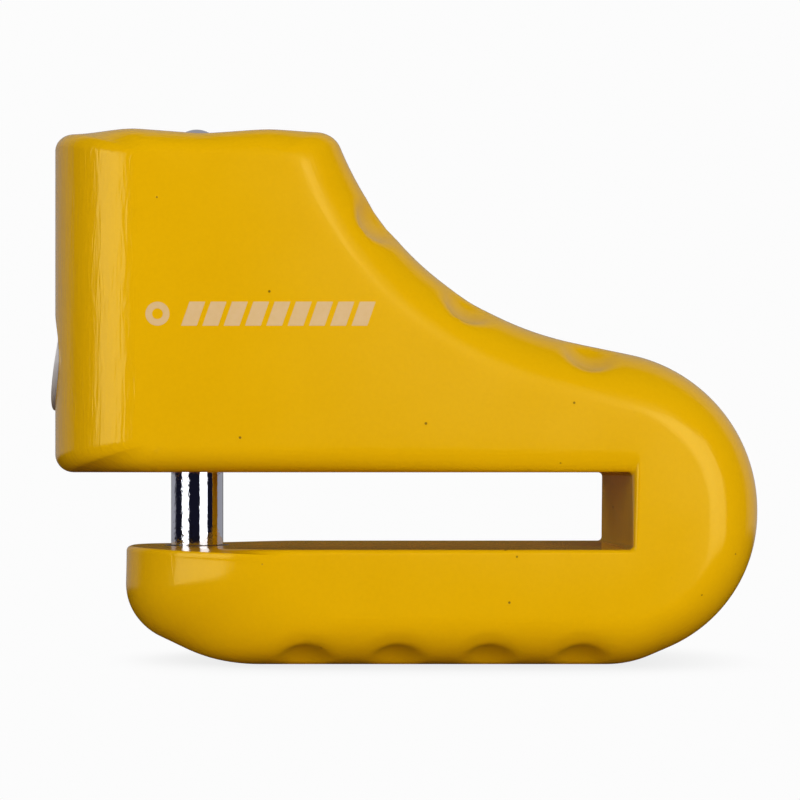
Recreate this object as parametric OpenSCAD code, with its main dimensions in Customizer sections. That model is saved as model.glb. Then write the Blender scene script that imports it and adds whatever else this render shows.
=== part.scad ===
// Disc brake lock: a boot-shaped casting whose sprung pin crosses a slot for the brake disc.
// The pin is pushed down by its domed top. A two-legged wire catch snaps into its notches, and a
// quarter turn of the key spreads the catch and lets the return spring lift the pin.
// Frame: +X towards the toe, +Y away from the printed side, +Z up, origin under the middle of the box.

/* [Casting] */
// Thickness of the casting across its two flat sides
body_w = 25; // [24.5:0.1:26]
// Width of the flat land left along the slope, toe and sole
land_w = 9; // [8:0.5:10]
// Depth of the finger scallops
scallop_depth = 0.8; // [0.3:0.1:1.2]

/* [Brake disc slot] */
// Height of the top of the lower arm, which is the floor of the slot
slot_floor_z = 13.2; // [13:0.1:13.6]
// Height of the slot's ceiling
slot_ceiling_z = 21.6; // [21.4:0.1:21.8]
// Closed end of the slot
slot_end_x = 25; // [23:0.5:26]

/* [Locking pin] */
// Diameter of the hardened pin
pin_d = 6; // [5.9:0.05:6]
// Place of the pin's axis along the lock
pin_x = -23.5; // [-23.6:0.1:-23.4]
// How far the pin reaches into the lower arm when locked
pin_engagement = 3.8; // [3:0.1:4]
// Height of the pin's domed top when locked
pin_top_z = 61.2; // [61:0.1:61.6]

/* [Lock barrel] */
// Height of the barrel's axis
barrel_z = 34.5; // [34.4:0.1:34.6]
// Outer diameter of the barrel
barrel_d = 11.5; // [11.3:0.1:11.6]
// Slant of the face cap, whose lower edge stands proud of the heel
cap_slant = 9; // [7:1:9]

/* [Hidden] */
$fn = 48;
eps = 0.01;

// --- casting outline -------------------------------------------------------------------------
heel_x = -39.6;
toe_x = 40.0;
tip_x = -31.5;
half_w = body_w / 2;
land = land_w / 2;
ceiling_land = half_w - 3;
floor_land = half_w - 0.5;
top_land = half_w - 3.5;

// One row per corner of the side view, clockwise from the slot's ceiling:
// [outline x, z, corner radius,  flat face x, z, corner radius,  half width of the land there]
// The outline is the casting's middle, the flat face is what is left flat on each side, and the
// edge between the two is a quarter of an ellipse.
CORNERS = [
    [-27.5, slot_ceiling_z, 0,     -26.6, slot_ceiling_z + 3, 0,  ceiling_land],
    [heel_x, slot_ceiling_z, 2.0,  -28.1, 24.8, 1.0,  0.4],
    [heel_x, 59.9, 1.6,            -28.1, 55.8, 1.0,  0.4],
    [-29.0, 59.65, 40,             -25.4, 55.9, 8.0,  top_land],
    [-22.3, 58.85, 25,             -21.5, 55.8, 20,   top_land],
    [-15.0, 59.3, 40,              -16.2, 55.6, 20,   top_land],
    [-7.4, 59.2, 2.6,              -12.5, 55.4, 2.0,  top_land - 1.8],
    [0.5, 40.0, 36,                -4.0, 35.2, 40,    land + 1],
    [toe_x, 31.9, 17.8,            33.0, 25.2, 10,    land],
    [toe_x, 6.2, 16.6,             33.0, 9.5, 8,      land],
    [25.5, 0, 12,                  25.5, 6.2, 5,      land],
    [-20.4, 0, 22,                 -9.0, 6.4, 10,     land],
    [tip_x, 4.6, 6.6,              -14.5, 10.5, 3.0,  1.5],
    [tip_x, slot_floor_z, 0.6,     -15.0, slot_floor_z - 0.5, 0.6,  0.6],
    [-14.0, slot_floor_z, 0,       -13.6, slot_floor_z - 0.5, 0,    floor_land],
    [slot_end_x, slot_floor_z, 0.5,    slot_end_x + 0.5, slot_floor_z - 0.5, 0.5,  floor_land],
    [slot_end_x, slot_ceiling_z, 0.5,  slot_end_x + 0.8, slot_ceiling_z + 2.6, 0.9,  half_w - 1],
];
arc_steps = 5;
straight_steps = 5;
edge_steps = 6;

function unit(v) = v / norm(v);
function lerp(a, b, t) = a + (b - a) * t;
function wrap(i, n) = (i + n) % n;

// Points round one corner: a fillet of radius r between the directions to its two neighbours.
function fillet(before, corner, after, r) =
    let (a = unit(before - corner),
         b = unit(after - corner),
         half_angle = acos(a * b) / 2,
         reach = r == 0 ? 0 : r / tan(half_angle),
         start = corner + a * reach,
         finish = corner + b * reach,
         middle = r == 0 ? corner : corner + unit(a + b) * (r / sin(half_angle)))
    [for (i = [0:arc_steps])
        let (t = i / arc_steps,
             spoke = lerp(start, finish, t) - middle)
        r == 0 ? corner + b * i * 0.02 : middle + unit(spoke) * r];

function corner_at(i, first) = [CORNERS[i][first], CORNERS[i][first + 1]];

// A closed side view: the corner fillets with evenly spaced points on the straights between them.
// first is 0 for the outline and 3 for the flat face.
function side_view(first) =
    let (n = len(CORNERS),
         arcs = [for (i = [0:n - 1])
             fillet(corner_at(wrap(i - 1, n), first), corner_at(i, first),
                    corner_at(wrap(i + 1, n), first), CORNERS[i][first + 2])])
    [for (i = [0:n - 1])
        let (from = arcs[i][arc_steps],
             to = arcs[wrap(i + 1, n)][0])
        each concat(arcs[i], [for (k = [1:straight_steps - 1]) lerp(from, to, k / straight_steps)])];

// Half width of the land at each point of the side view, in step with side_view().
function lands() =
    let (n = len(CORNERS))
    [for (i = [0:n - 1])
        let (here = CORNERS[i][6],
             next = CORNERS[wrap(i + 1, n)][6])
        each concat([for (k = [0:arc_steps]) here],
                    [for (k = [1:straight_steps - 1]) lerp(here, next, sin(90 * k / straight_steps))])];

// --- finger scallops: three along the slope and four along the sole, on both edges ---
sole_first_x = -10.6;
sole_pitch = 10.1;
// [middle in the side view, direction into the casting in the side view, radius]
SCALLOPS = concat(
    [[[-2.9, 49.0], [-0.9, -0.42], 4.2], [[7.3, 39.9], [-0.6, -0.8], 4.2], [[20.6, 34.4], [-0.25, -0.97], 4.2]],
    [for (i = [0:3]) [[sole_first_x + sole_pitch * i, 1.2], [0, 1], 3.4]]);
scallop_y = half_w - 3.2;

function dent(p) =
    [for (s = SCALLOPS)
        let (side = p[1] < 0 ? -1 : 1,
             away = norm(p - [s[0][0], side * scallop_y, s[0][1]]) / s[2],
             depth = away < 1 ? scallop_depth * (1 + cos(180 * away)) / 2 : 0)
        depth * unit([s[1][0], -side, s[1][1]])];
function sum(v, i = 0) = i == len(v) ? [0, 0, 0] : v[i] + sum(v, i + 1);
function scalloped(p) = p + sum(dent(p));

// The casting as one skin: rings of points from the front face, round the edge, and to the back.
module casting_skin() {
    outline = side_view(0);
    face = side_view(3);
    half_land = lands();
    n = len(outline);
    turns = concat([for (k = [0:edge_steps]) [90 - 90 * k / edge_steps, -1]],
                   [for (k = [0:edge_steps]) [90 * k / edge_steps, 1]]);
    rings = [for (t = turns) [for (i = [0:n - 1])
        let (at = lerp(face[i], outline[i], cos(t[0])),
             y = half_land[i] + (half_w - half_land[i]) * sin(t[0]))
        scalloped([at[0], t[1] * y, at[1]])]];
    points = [for (r = rings) each r];
    walls = [for (k = [0:len(rings) - 2], i = [0:n - 1])
        let (j = wrap(i + 1, n))
        each [[k * n + i, k * n + j, (k + 1) * n + j],
              [k * n + i, (k + 1) * n + j, (k + 1) * n + i]]];
    front = [for (i = [n - 1:-1:0]) i];
    back = [for (i = [0:n - 1]) (len(rings) - 1) * n + i];
    // Sized once more as a whole, which closes the skin and keeps the stated width exact.
    resize([0, body_w, 0])
        polyhedron(points = points, faces = concat(walls, [front, back]), convexity = 6);
}

// --- locking pin and its bore -----------------------------------------------------------------
pin_r = pin_d / 2;
pin_tip_z = slot_floor_z - pin_engagement;
pin_travel = slot_ceiling_z + 0.2 - pin_tip_z;
guide_r = pin_r + 0.06;
socket_r = pin_r + 0.6;
notch_y = pin_r - 0.72;
spring_bore_r = 4.7;
spring_seat_z = 40;
washer_z = spring_seat_z + 3.6;
clip_z = washer_z + 0.4;
clip_t = 0.8;
clip_groove_r = pin_r - 0.6;
bush_z = clip_z + clip_t + pin_travel + 0.1;
bush_t = 1.4;

// --- lock barrel, measured along its own axis from the heel inwards ---
barrel_r = barrel_d / 2;
cap_back_x = -37.6;
housing_back_x = -29.7;
chamber_r = 4.5;
chamber_end_x = -16.4;
plug_r = 3.6;
flange_r = 4.3;
flange_t = 0.6;
channel = [5.2, 8.4];
wafer_pitch = 1.25;
wafer_t = 0.7;
wafer_x0 = -36.05;
wafer_travel = 0.5;
wafer_w = 3.4;
ledge_reach = 1.6;
ledge_z = -0.3;
ledge_t = 0.8;
wafer_gap = 0.04;
wafer_y = -2.2;
spring_foot_z = -2.1;
keyway_y = -0.5;
keyway_w = 1.8;
keyway_h = 5.2;
retainer_x = -33.5;
retainer_r = 1.25;
retainer_top_z = barrel_z - barrel_r + 1.1;
catch_r = 0.6;
catch_y = notch_y + 0.02 + catch_r;
cam_x = -28.95;
cam_t = 1.6;
tail_r = 1.5;
neck_r = 2.2;

module along_barrel(x) { translate([x, 0, barrel_z]) rotate([0, 90, 0]) children(); }

module body() {
    color("gold") difference() {
        casting_skin();
        translate([pin_x, 0, slot_ceiling_z - 1]) cylinder(r = guide_r, h = 45);
        translate([pin_x, 0, spring_seat_z]) cylinder(r = spring_bore_r, h = 25);
        translate([pin_x, 0, pin_tip_z - 1]) cylinder(r = socket_r, h = 10);
        translate([retainer_x, 0, slot_ceiling_z - 1]) cylinder(r = retainer_r + 0.02, h = 10);
        along_barrel(-45) cylinder(r = barrel_r + 0.03, h = 45 + housing_back_x + 0.1);
        along_barrel(housing_back_x) cylinder(r = chamber_r, h = chamber_end_x - housing_back_x);
    }
}

module top_bush() {
    color("silver") translate([pin_x, 0, bush_z]) difference() {
        cylinder(r = spring_bore_r - 0.02, h = bush_t);
        translate([0, 0, -eps]) cylinder(r = guide_r, h = bush_t + 1);
    }
}

module locking_pin() {
    chamfer = 0.6;
    color("gainsboro") translate([pin_x, 0, 0]) difference() {
        union() {
            translate([0, 0, pin_tip_z]) cylinder(r1 = pin_r - chamfer, r2 = pin_r, h = chamfer);
            translate([0, 0, pin_tip_z + chamfer]) cylinder(r = pin_r, h = pin_top_z - pin_r - pin_tip_z - chamfer);
            translate([0, 0, pin_top_z - pin_r]) sphere(r = pin_r);
        }
        translate([0, 0, clip_z]) difference() {
            cylinder(r = pin_r + 1, h = clip_t);
            translate([0, 0, -1]) cylinder(r = clip_groove_r, h = clip_t + 2);
        }
        for (side = [-1, 1])
            translate([-5, side * (notch_y + 2) - 2, barrel_z - catch_r - 0.15])
                cube([10, 4, 2 * catch_r + 0.3]);
    }
}

module pin_clip() {
    color("dimgray") translate([pin_x, 0, clip_z + 0.02]) rotate([0, 0, 30])
        rotate_extrude(angle = 300) translate([clip_groove_r + 0.02, 0]) square([1.9, clip_t - 0.04]);
}

module spring_washer() {
    color("silver") translate([pin_x, 0, washer_z]) difference() {
        cylinder(r = 4.4, h = 0.38);
        translate([0, 0, -1]) cylinder(r = pin_r + 0.15, h = 3);
    }
}

// A round wire of radius wire wound up a helix of radius r, as one closed skin.
module coil(r, wire, height, turns, per_turn, sides) {
    last = turns * per_turn;
    points = [for (k = [0:last], s = [0:sides - 1])
        let (a = 360 * k / per_turn,
             out = r + wire * cos(360 * s / sides),
             up = wire * sin(360 * s / sides))
        [out * cos(a), out * sin(a), height * k / last + up]];
    skin = [for (k = [0:last - 1], s = [0:sides - 1])
        let (t = wrap(s + 1, sides))
        each [[k * sides + s, k * sides + t, (k + 1) * sides + t],
              [k * sides + s, (k + 1) * sides + t, (k + 1) * sides + s]]];
    ends = [[for (s = [sides - 1:-1:0]) s], [for (s = [0:sides - 1]) last * sides + s]];
    polyhedron(points = points, faces = concat(skin, ends), convexity = 8);
}

module return_spring() {
    wire = 0.3;
    color("lightsteelblue") translate([pin_x, 0, spring_seat_z + wire + 0.05])
        coil(3.85, wire, washer_z - spring_seat_z - 2 * wire - 0.1, 4, 20, 8);
}

module catch_spring() {
    bend_x = pin_x + pin_r + 0.3;
    leg = bend_x - cam_x;
    color("lightsteelblue") union() {
        for (side = [-1, 1])
            translate([cam_x, side * catch_y, barrel_z]) rotate([0, 90, 0]) cylinder(r = catch_r, h = leg);
        translate([bend_x, 0, barrel_z]) rotate([0, 0, -90])
            rotate_extrude(angle = 180) translate([catch_y, 0]) circle(r = catch_r);
    }
}

module barrel_housing() {
    length = housing_back_x - cap_back_x;
    color("silver") difference() {
        along_barrel(cap_back_x) difference() {
            cylinder(r = barrel_r, h = length);
            translate([0, 0, -1]) cylinder(r = plug_r + 0.05, h = length + 2);
            translate([0, 0, -1]) cylinder(r = flange_r + 0.05, h = 1.7);
            for (turn = [0, 90]) rotate([0, 0, turn])
                translate([-channel[1] / 2, -channel[0] / 2, 1.2]) cube([channel[1], channel[0], length]);
        }
        translate([retainer_x, 0, barrel_z - 8]) cylinder(r = retainer_r + 0.02, h = retainer_top_z + 0.05 - barrel_z + 8);
    }
}

module face_cap() {
    lip = 0.91;
    face_r = 60;
    color("lightgray") difference() {
        along_barrel(cap_back_x - 4) cylinder(r = barrel_r, h = 4);
        along_barrel(cap_back_x - 6) cylinder(r = 3.4, h = 8);
        translate([-toe_x + lip, 0, barrel_z]) rotate([0, cap_slant, 0]) difference() {
            translate([-10, -10, -10]) cube([11, 20, 20]);
            translate([face_r, 0, -11]) cylinder(r = face_r, h = 22, $fn = 360);
        }
    }
}

module barrel_pin() {
    foot_z = slot_ceiling_z + 0.4;
    color("dimgray") translate([retainer_x, 0, foot_z]) difference() {
        cylinder(r = retainer_r, h = retainer_top_z - foot_z);
        translate([0, 0, -1]) cylinder(r = 0.7, h = 20);
        translate([0, -0.25, -1]) cube([3, 0.5, 20]);
    }
}

module plug() {
    groove_x = housing_back_x + 0.05;
    color("khaki") difference() {
        union() {
            along_barrel(cap_back_x + 0.05) cylinder(r = flange_r, h = flange_t);
            along_barrel(cap_back_x + 0.1) cylinder(r = plug_r, h = groove_x - cap_back_x - 0.1);
            along_barrel(groove_x - 0.5) cylinder(r = neck_r, h = cam_x - groove_x + 0.48);
            along_barrel(cam_x - 0.5) cylinder(r = tail_r, h = cam_t + 0.7);
            along_barrel(cam_x + cam_t + 0.02) cylinder(r = tail_r + 0.6, h = 0.35);
        }
        translate([cap_back_x - 1, keyway_y - keyway_w / 2, barrel_z - keyway_h / 2])
            cube([1 + wafer_x0 - cap_back_x + 4.5 * wafer_pitch, keyway_w, keyway_h]);
        for (i = [0:4]) wafer_frame(i) {
            slot_t = wafer_t + 2 * wafer_gap;
            translate([-wafer_gap, wafer_y - wafer_gap, -5]) cube([slot_t, wafer_w + 2 * wafer_gap, 10]);
            translate([-wafer_gap, wafer_y + wafer_w - 0.2, spring_foot_z])
                cube([slot_t, ledge_reach + 0.2, ledge_z + ledge_t + wafer_travel + 0.2 - spring_foot_z]);
        }
    }
}

module plug_clip() {
    color("dimgray") along_barrel(housing_back_x + 0.07) rotate([0, 0, 30])
        rotate_extrude(angle = 300) translate([neck_r + 0.02, 0]) square([chamber_r - neck_r - 0.4, 0.5]);
}

module cam() {
    color("darkgray") intersection() {
        along_barrel(cam_x) difference() {
            cylinder(r = 3.12, h = cam_t);
            translate([0, 0, -1]) cylinder(r = tail_r + 0.01, h = 5);
        }
        translate([cam_x - 1, -notch_y + 0.08, barrel_z - 5]) cube([5, 2 * notch_y - 0.16, 10]);
    }
}

// Places wafer number i, from 0 at the heel. Every other one works upside down.
module wafer_frame(i) {
    translate([wafer_x0 + i * wafer_pitch, 0, barrel_z]) mirror([0, 0, i % 2]) children();
}

// Height of the cut that each wafer's window gives the key, one code per wafer.
CODES = [0.3, -0.3, 0.6, 0, -0.6];

module wafer(i) {
    color("goldenrod") wafer_frame(i) difference() {
        union() {
            intersection() {
                rotate([0, 90, 0]) cylinder(r = plug_r - 0.06, h = wafer_t);
                translate([0, wafer_y, -5]) cube([wafer_t, wafer_w, 10]);
            }
            translate([0, wafer_y + wafer_w - 0.2, ledge_z]) cube([wafer_t, ledge_reach, ledge_t]);
        }
        translate([-1, keyway_y - keyway_w / 2 - 0.05, -1.7 + CODES[i] / 2]) cube([3, keyway_w + 0.1, 3.6]);
    }
}

module wafer_spring(i) {
    wire = 0.08;
    room = ledge_z - spring_foot_z;
    color("lightsteelblue") wafer_frame(i)
        translate([wafer_t / 2, wafer_y + wafer_w + 0.75, spring_foot_z + wire + 0.02])
            coil(0.25, wire, room - 2 * wire - 0.04, 4, 8, 5);
}

body();
top_bush();
locking_pin();
pin_clip();
spring_washer();
return_spring();
catch_spring();
barrel_housing();
face_cap();
barrel_pin();
plug();
plug_clip();
cam();
wafer(0);  // wafer_1
wafer(1);  // wafer_2
wafer(2);  // wafer_3
wafer(3);  // wafer_4
wafer(4);  // wafer_5
wafer_spring(0);  // wafer_spring_1
wafer_spring(1);  // wafer_spring_2
wafer_spring(2);  // wafer_spring_3
wafer_spring(3);  // wafer_spring_4
wafer_spring(4);  // wafer_spring_5
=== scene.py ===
import math

import bmesh
import bpy
from mathutils import Matrix, Vector


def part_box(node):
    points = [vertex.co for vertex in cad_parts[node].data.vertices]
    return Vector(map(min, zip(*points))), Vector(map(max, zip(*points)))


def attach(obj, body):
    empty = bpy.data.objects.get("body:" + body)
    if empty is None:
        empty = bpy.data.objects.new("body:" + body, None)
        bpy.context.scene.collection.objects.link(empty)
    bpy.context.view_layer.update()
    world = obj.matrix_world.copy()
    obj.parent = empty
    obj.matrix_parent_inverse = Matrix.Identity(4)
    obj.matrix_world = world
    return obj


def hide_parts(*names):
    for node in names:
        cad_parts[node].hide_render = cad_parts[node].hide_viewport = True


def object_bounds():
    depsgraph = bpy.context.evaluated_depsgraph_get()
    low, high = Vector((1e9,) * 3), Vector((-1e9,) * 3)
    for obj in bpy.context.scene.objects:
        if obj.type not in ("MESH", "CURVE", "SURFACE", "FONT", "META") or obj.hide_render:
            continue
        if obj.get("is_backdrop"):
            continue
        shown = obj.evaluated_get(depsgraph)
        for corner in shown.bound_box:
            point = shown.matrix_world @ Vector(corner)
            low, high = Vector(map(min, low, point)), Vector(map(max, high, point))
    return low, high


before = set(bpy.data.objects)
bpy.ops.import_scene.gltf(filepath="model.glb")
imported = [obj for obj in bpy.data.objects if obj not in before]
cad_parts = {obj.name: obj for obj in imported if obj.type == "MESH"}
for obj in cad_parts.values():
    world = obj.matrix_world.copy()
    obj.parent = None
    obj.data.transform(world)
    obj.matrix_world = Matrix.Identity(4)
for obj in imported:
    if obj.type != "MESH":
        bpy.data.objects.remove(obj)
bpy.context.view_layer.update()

MM = 0.001

# =============================================================================================
# Casting. A boot of die-cast zinc in one piece, with the disc slot, the pin's bores and the barrel's
# bore machined into it, then dipped in glossy yellow enamel. Its edges are rounded right over, and
# fingers grip it in hollows along the slope and the sole.
# =============================================================================================
casting_low, casting_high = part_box("body")
pin_low, pin_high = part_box("locking_pin")
housing_low, housing_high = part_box("barrel_housing")

heel_x = casting_low.x / MM
toe_x = casting_high.x / MM
half_w = casting_high.y / MM
pin_x = (pin_low.x + pin_high.x) / 2 / MM
barrel_z = (housing_low.z + housing_high.z) / 2 / MM
slot_floor_z = 13.2
slot_ceiling_z = 21.6
slot_end_x = 25.0
tip_x = -31.5

# Corners of the side view, clockwise from the slot's ceiling. Each has the outline's corner and
# its radius, then the flat side's corner and its radius, then the half width of the land there.
CORNERS = [
    (-27.5, slot_ceiling_z, 0, -26.6, slot_ceiling_z + 3, 0, 9.5),
    (heel_x, slot_ceiling_z, 2.0, -28.1, 24.8, 1.0, 0.4),
    (heel_x, 59.9, 1.6, -28.1, 55.8, 1.0, 0.4),
    (-29.0, 59.65, 40, -25.4, 55.9, 8.0, 7.4),
    (-22.3, 58.85, 25, -21.5, 55.8, 20, 8.6),
    (-15.0, 59.3, 40, -16.2, 55.6, 20, 9.0),
    (-7.4, 59.2, 2.6, -12.5, 55.4, 2.0, 7.2),
    (0.5, 40.0, 36, -4.0, 35.2, 40, 5.5),
    (toe_x, 31.9, 17.8, 33.0, 25.2, 10, 4.5),
    (toe_x, 6.2, 16.6, 33.0, 9.5, 8, 4.5),
    (25.5, 0, 12, 25.5, 6.2, 5, 4.5),
    (-20.4, 0, 22, -9.0, 6.4, 8, 4.5),
    (tip_x, 4.6, 6.6, -11.9, 11.5, 2.0, 1.5),
    (tip_x, slot_floor_z, 0.6, -13.0, slot_floor_z - 0.7, 0.5, 0.6),
    (-11.7, slot_floor_z, 0, -11.4, slot_floor_z - 0.6, 0, 12.0),
    (slot_end_x, slot_floor_z, 0.5, slot_end_x + 0.5, slot_floor_z - 0.5, 0.5, 12.0),
    (slot_end_x, slot_ceiling_z, 0.5, slot_end_x + 0.8, slot_ceiling_z + 2.6, 0.9, 11.5),
]
DEGREES_PER_POINT = 3.0
MM_PER_POINT = 0.7
LEAST_ARC_POINTS = 6
EDGE_STEPS = 22
LAND_STEPS = 12


def fillet(before, corner, after, radius, points):
    """The arc that rounds one corner of a side view, as a list of points."""
    to_before = (before - corner).normalized()
    to_after = (after - corner).normalized()
    if radius == 0:
        return [corner]
    half_angle = to_before.angle(to_after) / 2
    reach = radius / math.tan(half_angle)
    middle = corner + (to_before + to_after).normalized() * (radius / math.sin(half_angle))
    start = corner + to_before * reach - middle
    end = corner + to_after * reach - middle
    return [middle + start.lerp(end, i / points).normalized() * radius for i in range(points + 1)]


def side_view(first, counts):
    """A closed side view. first is 0 for the outline and 3 for the flat side."""
    corners = [Vector(c[first:first + 2]) for c in CORNERS]
    n = len(corners)
    arcs = [fillet(corners[i - 1], corners[i], corners[(i + 1) % n], CORNERS[i][first + 2], counts[i][0])
            for i in range(n)]
    points = []
    for i in range(n):
        points += arcs[i]
        start, end = arcs[i][-1], arcs[(i + 1) % n][0]
        points += [start.lerp(end, k / counts[i][1]) for k in range(1, counts[i][1])]
    return points


def point_counts():
    """How many points each corner's arc and the straight after it get, from the outline's own size."""
    n = len(CORNERS)
    corners = [Vector(c[:2]) for c in CORNERS]
    turns = []
    reaches = []
    for i in range(n):
        turn = math.pi - (corners[i - 1] - corners[i]).angle(corners[(i + 1) % n] - corners[i])
        turns.append(turn)
        reaches.append(CORNERS[i][2] * math.tan(turn / 2))
    counts = []
    for i in range(n):
        arc_length = turns[i] * CORNERS[i][2]
        arc = max(LEAST_ARC_POINTS, math.ceil(math.degrees(turns[i]) / DEGREES_PER_POINT),
                  math.ceil(arc_length / MM_PER_POINT))
        straight = (corners[(i + 1) % n] - corners[i]).length - reaches[i] - reaches[(i + 1) % n]
        counts.append((arc, max(2, math.ceil(straight / MM_PER_POINT))))
    return counts


def land_widths(outline, counts):
    """Half width of the land at each point, eased along the outline from one corner's arc to the next."""
    middles = []
    at = 0
    for i, (arc, straight) in enumerate(counts):
        if CORNERS[i][2] == 0:
            arc = 0
        middles.append(at + arc // 2)
        at += arc + straight
    total = len(outline)
    along = [0.0]
    for i in range(total):
        along.append(along[-1] + (outline[(i + 1) % total] - outline[i]).length)
    widths = [0.0] * total
    for i, start in enumerate(middles):
        end = middles[(i + 1) % len(middles)]
        last = end if end > start else end + total
        stretch = (along[last % total] - along[start]) % along[total]
        for k in range(start, last):
            t = ((along[k % total] - along[start]) % along[total]) / stretch
            ease = t * t * (3 - 2 * t)
            widths[k % total] = CORNERS[i][6] + (CORNERS[(i + 1) % len(CORNERS)][6] - CORNERS[i][6]) * ease
    return widths


def casting_skin():
    """The boot as one closed skin: from the front side, round the edge and over to the back side."""
    counts = point_counts()
    outline = side_view(0, counts)
    side = side_view(3, counts)
    lands = land_widths(outline, counts)
    quarter = [math.pi / 2 * k / EDGE_STEPS for k in range(EDGE_STEPS + 1)]
    rings = [[(side[i].lerp(outline[i], math.sin(a)), -lands[i] - (half_w - lands[i]) * math.cos(a))
              for i in range(len(outline))] for a in quarter]
    rings += [[(outline[i], lands[i] * (2 * k / LAND_STEPS - 1)) for i in range(len(outline))]
              for k in range(1, LAND_STEPS)]
    rings += [[(side[i].lerp(outline[i], math.sin(a)), lands[i] + (half_w - lands[i]) * math.cos(a))
               for i in range(len(outline))] for a in reversed(quarter)]
    n = len(outline)
    points = [(p.x * MM, y * MM, p.y * MM) for ring in rings for p, y in ring]
    faces = [tuple(range(n)), tuple(len(points) - 1 - i for i in range(n))]
    for k in range(len(rings) - 1):
        for i in range(n):
            j = (i + 1) % n
            faces.append((k * n + i, (k + 1) * n + i, (k + 1) * n + j, k * n + j))
    mesh = bpy.data.meshes.new("casting")
    mesh.from_pydata(points, [], faces)

    # how far round the outline and how far over the edge each point is, for the enamel's drag lines
    round_it = [0.0]
    for i in range(n - 1):
        round_it.append(round_it[-1] + (outline[i + 1] - outline[i]).length)
    over_it = [0.0] * n
    drag = []
    last = rings[0]
    for ring in rings:
        over_it = [o + Vector((p.x - q.x, y - v, p.y - q.y)).length
                   for o, (p, y), (q, v) in zip(over_it, ring, last)]
        drag += [c * MM for along, over in zip(round_it, over_it) for c in (over, along, 0)]
        last = ring
    mesh.attributes.new("drag", "FLOAT_VECTOR", "POINT").data.foreach_set("vector", drag)
    shell = bmesh.new()
    shell.from_mesh(mesh)
    bmesh.ops.recalc_face_normals(shell, faces=shell.faces)
    shell.to_mesh(mesh)
    shell.free()
    return mesh


def add_piece(name, mesh):
    """A new object at the origin, with its place in its mesh."""
    piece = bpy.data.objects.new(name, mesh)
    bpy.context.scene.collection.objects.link(piece)
    return piece


def settle(piece):
    """Turns a piece's modifiers into plain mesh."""
    evaluated = piece.evaluated_get(bpy.context.evaluated_depsgraph_get())
    mesh = bpy.data.meshes.new_from_object(evaluated)
    piece.modifiers.clear()
    piece.data = mesh


def turned(name, profile, at, axis="Z", segments=96):
    """A solid turned on a lathe. profile is (radius, distance along the axis) in mm, from axis to axis."""
    points = []
    rings = []
    for radius, along in profile:
        if radius == 0:
            rings.append([len(points)])
            points.append(Vector((0, 0, along)))
            continue
        rings.append([len(points) + s for s in range(segments)])
        points += [Vector((radius * math.cos(2 * math.pi * s / segments),
                           radius * math.sin(2 * math.pi * s / segments), along)) for s in range(segments)]
    faces = []
    for low, high in zip(rings, rings[1:]):
        for s in range(segments):
            t = (s + 1) % segments
            if len(low) == 1:
                faces.append((low[0], high[t], high[s]))
            elif len(high) == 1:
                faces.append((low[s], low[t], high[0]))
            else:
                faces.append((low[s], low[t], high[t], high[s]))
    turn = Matrix.Rotation(math.pi / 2, 3, "Y") if axis == "X" else Matrix.Identity(3)
    mesh = bpy.data.meshes.new(name)
    mesh.from_pydata([(turn @ p + Vector(at)) * MM for p in points], [], faces)
    lathe = bmesh.new()
    lathe.from_mesh(mesh)
    bmesh.ops.recalc_face_normals(lathe, faces=lathe.faces)
    lathe.to_mesh(mesh)
    lathe.free()
    return add_piece(name, mesh)


def bore(name, radius, mouth_z, end_z, at, lip=0.0):
    """A cutter for an upright bore whose mouth at mouth_z is rounded over by lip."""
    way = 1 if end_z > mouth_z else -1
    flare = [(radius + lip * (1 - math.sin(a)), mouth_z + way * lip * (1 - math.cos(a)))
             for a in (math.radians(d) for d in range(4, 91, 9))]
    outside = mouth_z - way * 2.0
    return turned(name, [(0, outside), (flare[0][0], outside)] + flare + [(radius, end_z), (0, end_z)],
                  (at[0], at[1], 0))


def cut(piece, *cutters):
    """Machines the cutters out of a piece, which keeps their finish on the cut faces."""
    for cutter in cutters:
        boolean = piece.modifiers.new(cutter.name, "BOOLEAN")
        boolean.operation = "DIFFERENCE"
        boolean.solver = "EXACT"
        boolean.material_mode = "TRANSFER"
        boolean.object = cutter
        cutter.hide_render = True
    settle(piece)
    for cutter in cutters:
        bpy.data.objects.remove(cutter)


def smooth(piece, degrees=35):
    """Smooth shading, with hard lines kept where two faces meet at more than that angle."""
    piece.data.polygons.foreach_set("use_smooth", [True] * len(piece.data.polygons))
    piece.data.set_sharp_from_angle(angle=math.radians(degrees))


def new_finish(name):
    """An empty finish: its material, its node maker and its shader."""
    material = bpy.data.materials.new(name)
    material.use_nodes = True
    tree = material.node_tree
    shader = tree.nodes["Principled BSDF"]

    def add(kind, **values):
        node = tree.nodes.new(kind)
        for key, value in values.items():
            if key in node.inputs:
                node.inputs[key].default_value = value
            else:
                setattr(node, key, value)
        return node

    return material, add, tree.links.new, shader


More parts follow.
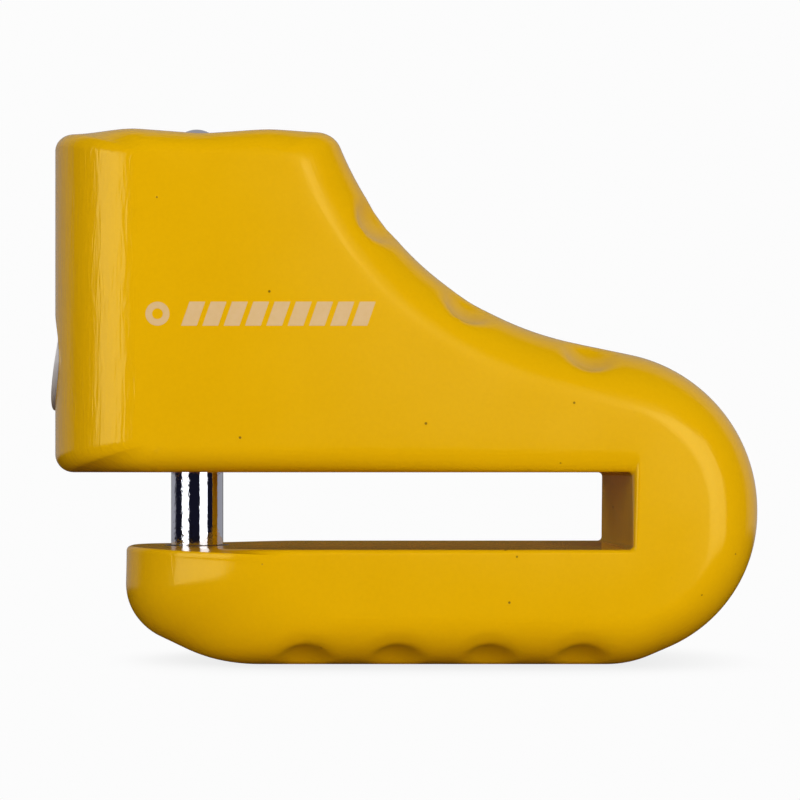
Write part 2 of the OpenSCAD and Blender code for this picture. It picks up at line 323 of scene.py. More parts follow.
def enamel():
    """Glossy yellow enamel: a little uneven in shade, with orange peel, drag lines and dark pits."""
    material, add, link, shader = new_finish("yellow_enamel")
    place = add("ShaderNodeTexCoord")
    patches = add("ShaderNodeTexNoise", Scale=55.0, Detail=3.0)
    grain = add("ShaderNodeTexNoise", Scale=2600.0, Detail=2.0)
    half = add("ShaderNodeMath", operation="MULTIPLY")
    half.inputs[1].default_value = 0.55
    shade = add("ShaderNodeMath", operation="MULTIPLY_ADD")
    shade.inputs[1].default_value = 0.45
    colour = add("ShaderNodeMix", data_type="RGBA")
    colour.inputs["A"].default_value = (0.715, 0.385, 0.001, 1)
    colour.inputs["B"].default_value = (0.815, 0.460, 0.001, 1)
    link(place.outputs["Object"], patches.inputs["Vector"])
    link(place.outputs["Object"], grain.inputs["Vector"])
    link(patches.outputs["Fac"], half.inputs[0])
    link(grain.outputs["Fac"], shade.inputs[0])
    link(half.outputs["Value"], shade.inputs[2])
    link(shade.outputs["Value"], colour.inputs["Factor"])

    # pits: each cell of a cell pattern has a dark dot at its middle
    cells = add("ShaderNodeTexVoronoi", Scale=230.0)
    dot = add("ShaderNodeMapRange", interpolation_type="SMOOTHSTEP")
    dot.inputs["From Min"].default_value = 0.018
    dot.inputs["From Max"].default_value = 0.045
    dot.inputs["To Min"].default_value = 1.0
    dot.inputs["To Max"].default_value = 0.0
    link(place.outputs["Object"], cells.inputs["Vector"])
    link(cells.outputs["Distance"], dot.inputs["Value"])
    pitted = add("ShaderNodeMix", data_type="RGBA")
    pitted.inputs["B"].default_value = (0.22, 0.11, 0.004, 1)
    link(dot.outputs["Result"], pitted.inputs["Factor"])
    link(colour.outputs["Result"], pitted.inputs["A"])
    link(pitted.outputs["Result"], shader.inputs["Base Color"])

    # gloss that varies a little from place to place
    gloss = add("ShaderNodeTexNoise", Scale=220.0, Detail=2.0)
    roughness = add("ShaderNodeMapRange")
    roughness.inputs["To Min"].default_value = 0.12
    roughness.inputs["To Max"].default_value = 0.20
    link(place.outputs["Object"], gloss.inputs["Vector"])
    link(gloss.outputs["Fac"], roughness.inputs["Value"])
    link(roughness.outputs["Result"], shader.inputs["Roughness"])

    # orange peel
    peel = add("ShaderNodeTexNoise", Scale=900.0, Detail=2.0)
    peel_bump = add("ShaderNodeBump", Strength=1.0, Distance=0.000006)
    # drag lines: they run along the edge, fade out on the flat sides and are deepest at the heel
    run = add("ShaderNodeAttribute", attribute_name="drag")
    stretch = add("ShaderNodeMapping")
    stretch.inputs["Scale"].default_value = (1.0, 0.1, 1.0)
    lines = add("ShaderNodeTexNoise", Scale=2000.0, Detail=0.5, Distortion=1.1)
    over = add("ShaderNodeSeparateXYZ")
    fade = add("ShaderNodeMapRange")
    fade.inputs["From Max"].default_value = 0.0008
    faded = add("ShaderNodeMath", operation="MULTIPLY")
    rear = add("ShaderNodeVectorMath", operation="DOT_PRODUCT")
    rear.inputs[1].default_value = (-1.0, 0.0, 0.5)
    toward_heel = add("ShaderNodeMapRange")
    toward_heel.inputs["From Min"].default_value = 0.036
    toward_heel.inputs["From Max"].default_value = 0.044
    toward_heel.inputs["To Min"].default_value = 0.3
    deeper = add("ShaderNodeMath", operation="MULTIPLY")
    drag_bump = add("ShaderNodeBump", Strength=1.0, Distance=0.00004)
    pit_bump = add("ShaderNodeBump", Strength=1.0, Distance=0.00005, invert=True)
    link(place.outputs["Object"], peel.inputs["Vector"])
    link(run.outputs["Vector"], stretch.inputs["Vector"])
    link(stretch.outputs["Vector"], lines.inputs["Vector"])
    link(peel.outputs["Fac"], peel_bump.inputs["Height"])
    link(run.outputs["Vector"], over.inputs["Vector"])
    link(over.outputs["X"], fade.inputs["Value"])
    link(lines.outputs["Fac"], faded.inputs[0])
    link(fade.outputs["Result"], faded.inputs[1])
    link(place.outputs["Object"], rear.inputs[0])
    link(rear.outputs["Value"], toward_heel.inputs["Value"])
    link(faded.outputs["Value"], deeper.inputs[0])
    link(toward_heel.outputs["Result"], deeper.inputs[1])
    link(deeper.outputs["Value"], drag_bump.inputs["Height"])
    link(dot.outputs["Result"], pit_bump.inputs["Height"])
    link(peel_bump.outputs["Normal"], drag_bump.inputs["Normal"])
    link(drag_bump.outputs["Normal"], pit_bump.inputs["Normal"])
    link(pit_bump.outputs["Normal"], shader.inputs["Normal"])
    shader.inputs["IOR"].default_value = 1.5
    shader.inputs["Specular Tint"].default_value = (1.0, 0.93, 0.33, 1)
    return material


def bare_zinc():
    """Machined zinc inside the bores: dull grey with fine turning marks."""
    material, add, link, shader = new_finish("bare_zinc")
    place = add("ShaderNodeTexCoord")
    marks = add("ShaderNodeTexWave", Scale=900.0, Distortion=1.5, Detail=2.0)
    marks.bands_direction = "Z"
    bump = add("ShaderNodeBump", Strength=0.6, Distance=0.00001)
    stain = add("ShaderNodeTexNoise", Scale=300.0, Detail=4.0)
    colour = add("ShaderNodeMix", data_type="RGBA")
    colour.inputs["A"].default_value = (0.16, 0.155, 0.15, 1)
    colour.inputs["B"].default_value = (0.30, 0.29, 0.275, 1)
    link(place.outputs["Object"], marks.inputs["Vector"])
    link(place.outputs["Object"], stain.inputs["Vector"])
    link(marks.outputs["Fac"], bump.inputs["Height"])
    link(stain.outputs["Fac"], colour.inputs["Factor"])
    link(colour.outputs["Result"], shader.inputs["Base Color"])
    link(bump.outputs["Normal"], shader.inputs["Normal"])
    shader.inputs["Metallic"].default_value = 0.85
    shader.inputs["Roughness"].default_value = 0.42
    return material


yellow_enamel = enamel()
zinc = bare_zinc()

# The finger hollows: three down the slope and four along the sole, the same on both sides. A hollow
# is a point with the way it is pressed into the casting, its reach and its depth. Each is pressed
# twice, a wide shallow dip and then a short crisp one in its middle.
slope_hollows = [((-2.9, 49.0), (-0.9, -0.42)), ((7.3, 39.9), (-0.6, -0.8)), ((20.6, 34.4), (-0.25, -0.97))]
slope_wide_y, slope_wide_reach, slope_wide_depth = 8.8, 3.7, 0.55
slope_crisp_y, slope_crisp_reach, slope_crisp_depth = 9.0, 2.8, 0.7
sole_wide_y, sole_wide_z, sole_wide_reach, sole_wide_depth = 10.2, 1.6, 3.6, 0.35
sole_crisp_y, sole_crisp_z, sole_crisp_reach, sole_crisp_depth = 9.3, 0.4, 2.9, 0.7
sole_first_x = -10.6
sole_pitch = 10.1


def hollow_points(name, hollows):
    """The hollows as loose points that carry how each is pressed."""
    mesh = bpy.data.meshes.new(name)
    mesh.from_pydata([h[0] * MM for h in hollows], [], [])
    mesh.attributes.new("reach", "FLOAT", "POINT").data.foreach_set("value", [h[2] * MM for h in hollows])
    mesh.attributes.new("push", "FLOAT_VECTOR", "POINT").data.foreach_set(
        "vector", [c for h in hollows for c in h[1].normalized() * h[3] * MM])
    return add_piece(name, mesh)


wide_hollows = []
crisp_hollows = []
for side in (-1, 1):
    for (x, z), (push_x, push_z) in slope_hollows:
        push = Vector((push_x, -side * 0.5, push_z))
        wide_hollows.append((Vector((x, side * slope_wide_y, z)), push,
                             slope_wide_reach, slope_wide_depth))
        crisp_hollows.append((Vector((x, side * slope_crisp_y, z)), push,
                              slope_crisp_reach, slope_crisp_depth))
    push = Vector((0, -side, 1))
    for i in range(4):
        x = sole_first_x + sole_pitch * i
        wide_hollows.append((Vector((x, side * sole_wide_y, sole_wide_z)), push,
                             sole_wide_reach, sole_wide_depth))
        crisp_hollows.append((Vector((x, side * sole_crisp_y, sole_crisp_z)), push,
                              sole_crisp_reach, sole_crisp_depth))


def new_tree(name, sockets):
    """A geometry tree with a geometry way in and out and the named inputs, and its node maker."""
    tree = bpy.data.node_groups.new(name, "GeometryNodeTree")
    tree.interface.new_socket("Geometry", in_out="INPUT", socket_type="NodeSocketGeometry")
    for label, kind in sockets:
        tree.interface.new_socket(label, in_out="INPUT", socket_type=kind)
    tree.interface.new_socket("Geometry", in_out="OUTPUT", socket_type="NodeSocketGeometry")
    given = tree.nodes.new("NodeGroupInput")
    result = tree.nodes.new("NodeGroupOutput")

    def add(kind, **values):
        node = tree.nodes.new(kind)
        for key, value in values.items():
            setattr(node, key, value)
        return node

    def close(geometry):
        """Ends the tree: instances made real, and the finish set."""
        real = add("GeometryNodeRealizeInstances")
        finish = add("GeometryNodeSetMaterial")
        tree.links.new(geometry, real.inputs[0])
        tree.links.new(real.outputs[0], finish.inputs["Geometry"])
        tree.links.new(given.outputs["Finish"], finish.inputs["Material"])
        tree.links.new(finish.outputs[0], result.inputs[0])

    return tree, given, add, tree.links.new, close


def grow(piece, tree, **inputs):
    """Gives the piece a geometry tree with these inputs, and turns the result into plain mesh."""
    modifier = piece.modifiers.new(tree.name, "NODES")
    modifier.node_group = tree
    for item in tree.interface.items_tree:
        if item.in_out == "INPUT" and item.name in inputs:
            modifier[item.identifier] = inputs[item.name]
    settle(piece)


def hollow_tree():
    """Presses each point of the skin towards the way of the nearest hollow, deepest at its middle."""
    tree, given, add, link, close = new_tree("finger_hollows", [
        ("Hollows", "NodeSocketObject"), ("Crispness", "NodeSocketFloat"), ("Finish", "NodeSocketMaterial")])
    source = add("GeometryNodeObjectInfo")
    nearest = add("GeometryNodeSampleNearest")
    here = add("GeometryNodeInputPosition")
    link(given.outputs["Hollows"], source.inputs["Object"])
    link(source.outputs["Geometry"], nearest.inputs["Geometry"])

    def sampled(value, kind):
        node = add("GeometryNodeSampleIndex", data_type=kind)
        link(source.outputs["Geometry"], node.inputs["Geometry"])
        link(value, node.inputs["Value"])
        link(nearest.outputs["Index"], node.inputs["Index"])
        return node.outputs["Value"]

    def stored(name, kind):
        node = add("GeometryNodeInputNamedAttribute", data_type=kind)
        node.inputs["Name"].default_value = name
        return node.outputs["Attribute"]

    away = add("ShaderNodeVectorMath", operation="DISTANCE")
    link(here.outputs["Position"], away.inputs[0])
    link(sampled(here.outputs["Position"], "FLOAT_VECTOR"), away.inputs[1])
    part = add("ShaderNodeMath", operation="DIVIDE")
    link(away.outputs["Value"], part.inputs[0])
    link(sampled(stored("reach", "FLOAT"), "FLOAT"), part.inputs[1])
    square = add("ShaderNodeMath", operation="MULTIPLY")
    link(part.outputs["Value"], square.inputs[0])
    link(part.outputs["Value"], square.inputs[1])
    inside = add("ShaderNodeMath", operation="SUBTRACT", use_clamp=True)
    inside.inputs[0].default_value = 1.0
    link(square.outputs["Value"], inside.inputs[1])
    depth = add("ShaderNodeMath", operation="POWER")
    link(inside.outputs["Value"], depth.inputs[0])
    link(given.outputs["Crispness"], depth.inputs[1])
    offset = add("ShaderNodeVectorMath", operation="SCALE")
    link(sampled(stored("push", "FLOAT_VECTOR"), "FLOAT_VECTOR"), offset.inputs[0])
    link(depth.outputs["Value"], offset.inputs["Scale"])
    pressed = add("GeometryNodeSetPosition")
    link(given.outputs["Geometry"], pressed.inputs["Geometry"])
    link(offset.outputs["Vector"], pressed.inputs["Offset"])
    close(pressed.outputs["Geometry"])
    return tree


casting = add_piece("casting", casting_skin())
pressing = hollow_tree()
for name, hollows, crispness in (("wide_hollows", wide_hollows, 1.3), ("crisp_hollows", crisp_hollows, 0.8)):
    points = hollow_points(name, hollows)
    grow(casting, pressing, Hollows=points, Crispness=crispness, Finish=yellow_enamel)
    bpy.data.objects.remove(points)

guide_r = 3.06
spring_bore_r = 4.7
spring_seat_z = 40.0
socket_r = 3.6
chamber_r = 4.5
chamber_end_x = -16.4
barrel_r = (housing_high.z - housing_low.z) / 2 / MM
housing_back_x = housing_high.x / MM
retainer_low, retainer_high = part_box("barrel_pin")
retainer_x = (retainer_low.x + retainer_high.x) / 2 / MM
retainer_r = (retainer_high.x - retainer_low.x) / 2 / MM
top_z = 58.95
retainer_end_z = 31.0
past_heel_x = -46
bore_r = barrel_r + 0.06
bore_end_x = housing_back_x + 0.1
cutters = [
    bore("pin_guide", guide_r, slot_ceiling_z, spring_seat_z + 1, (pin_x, 0), lip=0.35),
    bore("spring_bore", spring_bore_r, top_z, spring_seat_z, (pin_x, 0), lip=0.4),
    bore("socket", socket_r, slot_floor_z, pin_low.z / MM - 1, (pin_x, 0), lip=0.1),
    bore("retainer_hole", retainer_r + 0.02, slot_ceiling_z, retainer_end_z, (retainer_x, 0), lip=0.25),
    turned("barrel_bore", [(0, past_heel_x), (bore_r, past_heel_x), (bore_r, bore_end_x), (0, bore_end_x)],
           (0, 0, barrel_z), axis="X"),
    turned("chamber", [(0, housing_back_x), (chamber_r, housing_back_x), (chamber_r, chamber_end_x),
                       (0, chamber_end_x)], (0, 0, barrel_z), axis="X"),
]
for cutter in cutters:
    cutter.data.materials.append(zinc)
cut(casting, *cutters)
smooth(casting, 30)
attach(casting, "casting")
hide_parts("body")

# =============================================================================================
# Printed mark. Pale ink pad-printed on the front side: a plain ring for the brake disc and a row of
# slanted bars. It is a film a few hundredths of a millimetre thick.
# =============================================================================================
ink_t = 0.03
mark_low_z = 37.4
mark_h = 2.6
mark_x = -27.7


def ink():
    """Pale beige ink, flat, a little thin and speckled where the pad lifted."""
    material, add, link, shader = new_finish("print_ink")
    place = add("ShaderNodeTexCoord")
    thin = add("ShaderNodeTexNoise", Scale=1800.0, Detail=3.0)
    colour = add("ShaderNodeMix", data_type="RGBA")
    colour.inputs["A"].default_value = (0.66, 0.44, 0.18, 1)
    colour.inputs["B"].default_value = (0.70, 0.49, 0.25, 1)
    bump = add("ShaderNodeBump", Strength=0.4, Distance=0.000008)
    link(place.outputs["Object"], thin.inputs["Vector"])
    link(thin.outputs["Fac"], colour.inputs["Factor"])
    link(thin.outputs["Fac"], bump.inputs["Height"])
    link(colour.outputs["Result"], shader.inputs["Base Color"])
    link(bump.outputs["Normal"], shader.inputs["Normal"])
    shader.inputs["Roughness"].default_value = 0.35
    return material


def bar_tree():
    """A row of flat bars that all lean over."""
    tree, given, add, link, close = new_tree("print_bars", [
        ("Count", "NodeSocketInt"), ("Pitch", "NodeSocketFloat"), ("Size", "NodeSocketVector"),
        ("Start", "NodeSocketVector"), ("Lean", "NodeSocketFloat"), ("Finish", "NodeSocketMaterial")])
    step = add("ShaderNodeCombineXYZ")
    link(given.outputs["Pitch"], step.inputs["X"])
    row = add("GeometryNodeMeshLine")
    link(given.outputs["Count"], row.inputs["Count"])
    link(given.outputs["Start"], row.inputs["Start Location"])
    link(step.outputs["Vector"], row.inputs["Offset"])
    bar = add("GeometryNodeMeshCube")
    link(given.outputs["Size"], bar.inputs["Size"])
    placed = add("GeometryNodeInstanceOnPoints")
    link(row.outputs["Mesh"], placed.inputs["Points"])
    link(bar.outputs["Mesh"], placed.inputs["Instance"])
    real = add("GeometryNodeRealizeInstances")
    link(placed.outputs["Instances"], real.inputs[0])
    here = add("GeometryNodeInputPosition")
    apart = add("ShaderNodeSeparateXYZ")
    link(here.outputs["Position"], apart.inputs["Vector"])
    lean = add("ShaderNodeMath", operation="MULTIPLY")
    link(apart.outputs["Z"], lean.inputs[0])
    link(given.outputs["Lean"], lean.inputs[1])
    shift = add("ShaderNodeCombineXYZ")
    link(lean.outputs["Value"], shift.inputs["X"])
    leaning = add("GeometryNodeSetPosition")
    link(real.outputs[0], leaning.inputs["Geometry"])
    link(shift.outputs["Vector"], leaning.inputs["Offset"])
    close(leaning.outputs["Geometry"])
    return tree


print_ink = ink()
bars = bar_tree()
bar_count = 9
bar_pitch = 2.3
bar_w = 1.7
bar_lean = 0.35
first_bar_x = mark_x + 4.3
print_y = -half_w - ink_t / 2 + 0.01
mid_z = mark_low_z + mark_h / 2
mark = add_piece("printed_mark", bpy.data.meshes.new("printed_mark"))
grow(mark, bars, Count=bar_count, Pitch=bar_pitch * MM, Size=Vector((bar_w, ink_t, mark_h)) * MM,
     Start=Vector((first_bar_x + bar_w / 2 - bar_lean * mid_z, print_y, mid_z)) * MM, Lean=bar_lean,
     Finish=print_ink)
ring_r = mark_h / 2
hole_r = ring_r * 0.45
ring = turned("print_ring", [(hole_r, -ink_t / 2), (ring_r, -ink_t / 2), (ring_r, ink_t / 2),
                             (hole_r, ink_t / 2), (hole_r, -ink_t / 2)], (0, 0, 0), segments=48)
ring.data.transform(Matrix.Translation(Vector((mark_x + ring_r, print_y, mid_z)) * MM)
                    @ Matrix.Rotation(math.pi / 2, 4, "X"))
ring.data.materials.append(print_ink)
mark.data.materials.clear()
mark.data.materials.append(print_ink)
joined = bmesh.new()
joined.from_mesh(mark.data)
joined.from_mesh(ring.data)
bmesh.ops.remove_doubles(joined, verts=joined.verts, dist=0.000001)
bmesh.ops.recalc_face_normals(joined, faces=joined.faces)
joined.to_mesh(mark.data)
joined.free()
bpy.data.objects.remove(ring)
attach(mark, "casting")

# =============================================================================================
# Locking pin. A pin of hardened steel, ground and hard-chromed, with a domed top to push on, a groove
# for its clip and two notches for the catch wire.
# =============================================================================================
pin_r = (pin_high.x - pin_low.x) / 2 / MM
pin_tip_z = pin_low.z / MM
pin_top_z = pin_high.z / MM
pin_edge = 0.6
groove_r = pin_r - 0.6
groove_play = 0.02
notch_depth = 0.72
notch_play = 0.3
clip_low, clip_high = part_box("pin_clip")
catch_low, catch_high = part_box("catch_spring")


def hard_chrome():
    """Bright hard chrome over ground steel, lumpier on the side that rubs towards the heel."""
    material, add, link, shader = new_finish("hard_chrome")
    place = add("ShaderNodeTexCoord")
    lumps = add("ShaderNodeTexNoise", Scale=2100.0, Detail=4.0)
    waves = add("ShaderNodeTexNoise", Scale=420.0, Detail=1.0)
    side = add("ShaderNodeSeparateXYZ")
    worn = add("ShaderNodeMapRange")
    worn.inputs["From Min"].default_value = (pin_x - 0.1) * MM
    worn.inputs["From Max"].default_value = (pin_x - 0.9) * MM
    worn.inputs["To Min"].default_value = 0.25
    rubbed = add("ShaderNodeMath", operation="MULTIPLY")
    lump_bump = add("ShaderNodeBump", Strength=1.0, Distance=0.000045)
    wave_bump = add("ShaderNodeBump", Strength=1.0, Distance=0.000006)
    haze = add("ShaderNodeTexNoise", Scale=700.0, Detail=4.0)
    roughness = add("ShaderNodeMapRange")
    roughness.inputs["To Min"].default_value = 0.015
    roughness.inputs["To Max"].default_value = 0.06
    for pattern in (lumps, waves, haze):
        link(place.outputs["Object"], pattern.inputs["Vector"])
    link(place.outputs["Object"], side.inputs["Vector"])
    link(side.outputs["X"], worn.inputs["Value"])
    link(lumps.outputs["Fac"], rubbed.inputs[0])
    link(worn.outputs["Result"], rubbed.inputs[1])
    link(rubbed.outputs["Value"], lump_bump.inputs["Height"])
    link(waves.outputs["Fac"], wave_bump.inputs["Height"])
    link(wave_bump.outputs["Normal"], lump_bump.inputs["Normal"])
    link(lump_bump.outputs["Normal"], shader.inputs["Normal"])
    link(haze.outputs["Fac"], roughness.inputs["Value"])
    link(roughness.outputs["Result"], shader.inputs["Roughness"])
    shader.inputs["Base Color"].default_value = (0.74, 0.75, 0.80, 1)
    shader.inputs["Metallic"].default_value = 1.0
    return material


chrome = hard_chrome()
dome = [(pin_r * math.cos(math.radians(d)), pin_top_z - pin_r + pin_r * math.sin(math.radians(d)))
        for d in range(0, 90, 5)]
groove_low_z = clip_low.z / MM - groove_play
groove_high_z = clip_high.z / MM + groove_play
groove = [(pin_r, groove_low_z), (groove_r, groove_low_z), (groove_r, groove_high_z), (pin_r, groove_high_z)]
tip = [(0, pin_tip_z), (pin_r - pin_edge, pin_tip_z)]
tip += [(pin_r - pin_edge + pin_edge * math.sin(math.radians(d)),
         pin_tip_z + pin_edge - pin_edge * math.cos(math.radians(d))) for d in range(15, 91, 15)]
shank = [(pin_r, z) for z in (16, 20, 24, 28, 32, 37, 40)]
pin = turned("chromed_pin", tip + shank + groove + dome + [(0, pin_top_z)], (pin_x, 0, 0), segments=128)
for way in (-1, 1):
    block = bpy.data.meshes.new("notch")
    maker = bmesh.new()
    bmesh.ops.create_cube(maker, size=1.0)
    maker.to_mesh(block)
    maker.free()
    size = Vector((10, 4, (catch_high.z - catch_low.z) / MM + notch_play)) * MM
    middle = Vector((pin_x, way * (pin_r - notch_depth + 2), barrel_z)) * MM
    block.transform(Matrix.Translation(middle) @ Matrix.Diagonal((*size, 1)))
    cut(pin, add_piece("notch", block))
pin.data.materials.clear()
pin.data.materials.append(chrome)
smooth(pin, 25)
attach(pin, "pin")
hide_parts("locking_pin")

# =============================================================================================
# Small steel parts on the pin and in the casting. The clip and the washer are stamped, the bush that
# closes the spring's bore is turned, and the barrel's retainer is a rolled pin.
# =============================================================================================


def metal(name, colour, roughness, grain, depth, stretch=(1, 1, 1), metallic=1.0):
    """A bare metal. grain is how fine its tool marks are, depth how deep, stretch how they are drawn out."""
    material, add, link, shader = new_finish(name)
    place = add("ShaderNodeTexCoord")
    drawn = add("ShaderNodeMapping")
    drawn.inputs["Scale"].default_value = stretch
    marks = add("ShaderNodeTexNoise", Scale=grain, Detail=4.0)
    bump = add("ShaderNodeBump", Strength=1.0, Distance=depth)
    stain = add("ShaderNodeTexNoise", Scale=260.0, Detail=3.0)
    shade = add("ShaderNodeMix", data_type="RGBA")
    shade.inputs["A"].default_value = (*[c * 0.8 for c in colour], 1)
    shade.inputs["B"].default_value = (*colour, 1)
    haze = add("ShaderNodeMapRange")
    haze.inputs["To Min"].default_value = roughness * 0.7
    haze.inputs["To Max"].default_value = roughness * 1.3
    link(place.outputs["Object"], drawn.inputs["Vector"])
    link(place.outputs["Object"], stain.inputs["Vector"])
    link(drawn.outputs["Vector"], marks.inputs["Vector"])
    link(marks.outputs["Fac"], bump.inputs["Height"])
    link(marks.outputs["Fac"], haze.inputs["Value"])
    link(stain.outputs["Fac"], shade.inputs["Factor"])
    link(shade.outputs["Result"], shader.inputs["Base Color"])
    link(haze.outputs["Result"], shader.inputs["Roughness"])
    link(bump.outputs["Normal"], shader.inputs["Normal"])
    shader.inputs["Metallic"].default_value = metallic
    return material


def finish_nodes(finish, *names):
    """Gives parts that keep their designed shape this finish."""
    for name in names:
        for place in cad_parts[name].material_slots:
            place.material = finish


turned_steel = metal("turned_steel", (0.52, 0.52, 0.53), 0.28, 900.0, 0.000006, (1, 1, 3))
stamped_steel = metal("stamped_steel", (0.42, 0.42, 0.43), 0.35, 1500.0, 0.000008)
finish_nodes(turned_steel, "top_bush", "barrel_pin")
finish_nodes(stamped_steel, "pin_clip", "spring_washer", "plug_clip")

# =============================================================================================
# Springs. The pin's return spring and the wafers' five small ones are wound from round wire. The
# catch spring is a hairpin of the same wire, whose two legs snap into the pin's notches.
# =============================================================================================
spring_steel = metal("spring_steel", (0.50, 0.47, 0.42), 0.3, 2200.0, 0.000005, (1, 1, 0.3))


def wire_tree():
    """Round wire wound into a coil that stands on its lower end."""
    tree, given, add, link, close = new_tree("wound_wire", [
        ("Coil radius", "NodeSocketFloat"), ("Wire radius", "NodeSocketFloat"), ("Turns", "NodeSocketFloat"),
        ("Height", "NodeSocketFloat"), ("Foot", "NodeSocketVector"), ("Finish", "NodeSocketMaterial")])
    coil = add("GeometryNodeCurveSpiral")
    coil.inputs["Resolution"].default_value = 48
    round_wire = add("GeometryNodeCurvePrimitiveCircle")
    round_wire.inputs["Resolution"].default_value = 12
    wire = add("GeometryNodeCurveToMesh")
    wire.inputs["Fill Caps"].default_value = True
    stood = add("GeometryNodeTransform")
    soft = add("GeometryNodeSetShadeSmooth")
    link(given.outputs["Coil radius"], coil.inputs["Start Radius"])
    link(given.outputs["Coil radius"], coil.inputs["End Radius"])
    link(given.outputs["Turns"], coil.inputs["Rotations"])
    link(given.outputs["Height"], coil.inputs["Height"])
    link(given.outputs["Wire radius"], round_wire.inputs["Radius"])
    link(coil.outputs["Curve"], wire.inputs["Curve"])
    link(round_wire.outputs["Curve"], wire.inputs["Profile Curve"])
    link(wire.outputs["Mesh"], stood.inputs["Geometry"])
    link(given.outputs["Foot"], stood.inputs["Translation"])
    link(stood.outputs["Geometry"], soft.inputs["Geometry"])
    close(soft.outputs["Geometry"])
    return tree


winding = wire_tree()
coils = [("return_spring", "casting", 0.3, 4.0)]
coils += [("wafer_spring_%d" % i, "plug", 0.08, 5.0) for i in range(1, 6)]
for node, body, wire_r, turns in coils:
    low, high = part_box(node)
    foot = Vector(((low.x + high.x) / 2, (low.y + high.y) / 2, low.z + wire_r * MM))
    coil = add_piece("wound_" + node, bpy.data.meshes.new("wound_" + node))
    grow(coil, winding, **{"Coil radius": (high.y - low.y) / 2 - wire_r * MM, "Wire radius": wire_r * MM,
                           "Turns": turns, "Height": high.z - low.z - 2 * wire_r * MM, "Foot": foot,
                           "Finish": spring_steel})
    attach(coil, body)
    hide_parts(node)
finish_nodes(spring_steel, "catch_spring")

# =============================================================================================
# Lock barrel. The housing is cast zinc, behind a satin nickel cap whose rounded face leans with the
# heel. Inside turn a brass plug with its cam and clip, and five stamped wafers.
# =============================================================================================
satin_nickel = metal("satin_nickel", (0.80, 0.79, 0.80), 0.40, 1300.0, 0.000004, metallic=0.5)
cast_zinc = metal("cast_zinc", (0.58, 0.57, 0.55), 0.36, 700.0, 0.000006)
plug_brass = metal("plug_brass", (0.72, 0.53, 0.24), 0.24, 1100.0, 0.000006)
wafer_brass = metal("wafer_brass", (0.68, 0.51, 0.25), 0.32, 1700.0, 0.000007)
finish_nodes(satin_nickel, "face_cap")
finish_nodes(cast_zinc, "barrel_housing")
finish_nodes(plug_brass, "plug")
finish_nodes(wafer_brass, "wafer_1", "wafer_2", "wafer_3", "wafer_4", "wafer_5")
finish_nodes(turned_steel, "cam")

# =============================================================================================
# Studio. A pale floor and a white backdrop, with two softboxes in front, one each side of the camera,
# a fill between them and two softer lamps behind. The fill and the rear lamps aren't mirrored.
# =============================================================================================
floor_mesh = bpy.data.meshes.new("floor")
far = 6.0
floor_mesh.from_pydata([(-far, -far, 0), (far, -far, 0), (far, far, 0), (-far, far, 0)], [], [(0, 1, 2, 3)])
floor = add_piece("floor", floor_mesh)
floor_paper, add, link, shader = new_finish("floor_paper")
rays = add("ShaderNodeLightPath")
# to the camera the floor is an even white glow, darkened close to the lock by a painted contact shadow taken
# from ambient occlusion
near = add("ShaderNodeAmbientOcclusion", samples=8, Distance=0.012)
seen = add("ShaderNodeEmission")
painted_contact_shadow = add("ShaderNodeMapRange")
painted_contact_shadow.inputs["From Max"].default_value = 0.7
painted_contact_shadow.inputs["To Min"].default_value = 0.82
painted_contact_shadow.inputs["To Max"].default_value = 0.973
glass = add("ShaderNodeBsdfTransparent")
mirrored = add("ShaderNodeMixShader")
either = add("ShaderNodeMixShader")
# to other rays the floor is tinted brown-yellow: painted bounce light, standing in for light from the yellow
# casting thrown back onto its underside
shader.inputs["Base Color"].default_value = (0.40, 0.28, 0.24, 1)
shader.inputs["Roughness"].default_value = 0.9
link(near.outputs["AO"], painted_contact_shadow.inputs["Value"])
link(painted_contact_shadow.outputs["Result"], seen.inputs["Color"])
link(rays.outputs["Is Camera Ray"], either.inputs[0])
link(rays.outputs["Is Glossy Ray"], mirrored.inputs[0])
link(shader.outputs[0], mirrored.inputs[1])
link(glass.outputs[0], mirrored.inputs[2])
link(mirrored.outputs[0], either.inputs[1])
link(seen.outputs[0], either.inputs[2])
link(either.outputs[0], floor_paper.node_tree.nodes["Material Output"].inputs["Surface"])
floor.data.materials.append(floor_paper)
floor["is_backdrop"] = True

world = bpy.data.worlds.new("studio")
bpy.context.scene.world = world
world.use_nodes = True
room = world.node_tree
backdrop = room.nodes["Background"]
rays = room.nodes.new("ShaderNodeLightPath")
way = room.nodes.new("ShaderNodeTexCoord")
apart = room.nodes.new("ShaderNodeSeparateXYZ")
behind = room.nodes.new("ShaderNodeValToRGB")
behind.color_ramp.elements[0].position = 0.22
behind.color_ramp.elements[0].color = (0.008, 0.008, 0.018, 1)
behind.color_ramp.elements[1].position = 0.34
behind.color_ramp.elements[1].color = (0.36, 0.36, 0.40, 1)
behind.color_ramp.elements.new(0.92).color = (0.36, 0.36, 0.38, 1)
behind.color_ramp.elements.new(0.975).color = (0.03, 0.027, 0.02, 1)
below = room.nodes.new("ShaderNodeMapRange")
below.inputs["From Min"].default_value = -0.12
below.inputs["From Max"].default_value = -0.06
dimmed = room.nodes.new("ShaderNodeMix")
dimmed.data_type = "RGBA"
dimmed.inputs["A"].default_value = (0.006, 0.005, 0.004, 1)
either = room.nodes.new("ShaderNodeMix")
either.data_type = "RGBA"
either.inputs["B"].default_value = (0.973, 0.973, 0.973, 1)
room.links.new(way.outputs["Generated"], apart.inputs["Vector"])
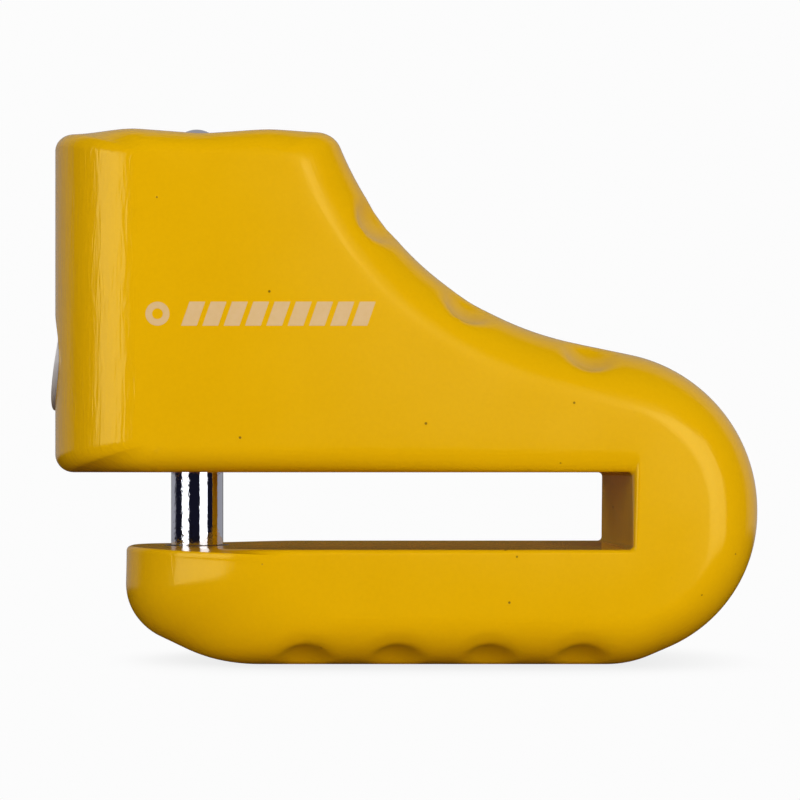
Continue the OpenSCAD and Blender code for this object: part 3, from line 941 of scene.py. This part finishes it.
room.links.new(apart.outputs["Y"], behind.inputs["Fac"])
room.links.new(apart.outputs["Z"], below.inputs["Value"])
room.links.new(below.outputs["Result"], dimmed.inputs["Factor"])
room.links.new(behind.outputs["Color"], dimmed.inputs["B"])
room.links.new(dimmed.outputs["Result"], either.inputs["A"])
room.links.new(rays.outputs["Is Camera Ray"], either.inputs["Factor"])
room.links.new(either.outputs["Result"], backdrop.inputs["Color"])


def softbox(name, azimuth, elevation, width, height, brightness, distance=1.5):
    """A flat lamp that faces the lock. azimuth is from the camera's side, positive to the right."""
    lamp = bpy.data.lights.new(name, "AREA")
    lamp.shape = "RECTANGLE"
    lamp.size = width
    lamp.size_y = height
    lamp.energy = brightness * width * height * math.pi
    holder = bpy.data.objects.new(name, lamp)
    bpy.context.scene.collection.objects.link(holder)
    a, e = math.radians(azimuth), math.radians(elevation)
    back = Vector((math.sin(a) * math.cos(e), -math.cos(a) * math.cos(e), math.sin(e)))
    holder.location = back * distance + Vector((pin_x * MM, 0, 0.03))
    holder.rotation_euler = back.to_track_quat("Z", "Y").to_euler()
    holder.visible_camera = False
    return holder


softbox("left_softbox", -46.5, 9, 0.88, 0.9, 2.75)
softbox("right_softbox", 34.5, 8, 0.92, 0.86, 2.3)
fills = [softbox("front_fill", 18, 16, 1.0, 1.0, 5.4), softbox("left_rear_lamp", -140, 35, 0.8, 0.8, 1.6),
         softbox("right_rear_lamp", 140, 35, 0.8, 0.8, 1.6)]
for fill in fills:
    fill.visible_glossy = False

camera_data = bpy.data.cameras.new("camera")
camera_data.sensor_width = 36
camera_data.lens = 71.8
camera_data.shift_x = 0.031
camera_data.shift_y = 0.0925
camera_data.clip_start = 0.01
camera_data.clip_end = 20
camera = bpy.data.objects.new("camera", camera_data)
bpy.context.scene.collection.objects.link(camera)
camera.location = (-0.0029, -0.1847, 0.0214)
camera.rotation_euler = (math.pi / 2, 0, 0)
bpy.context.scene.camera = camera
bpy.context.scene.view_settings.view_transform = "Standard"

low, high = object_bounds()
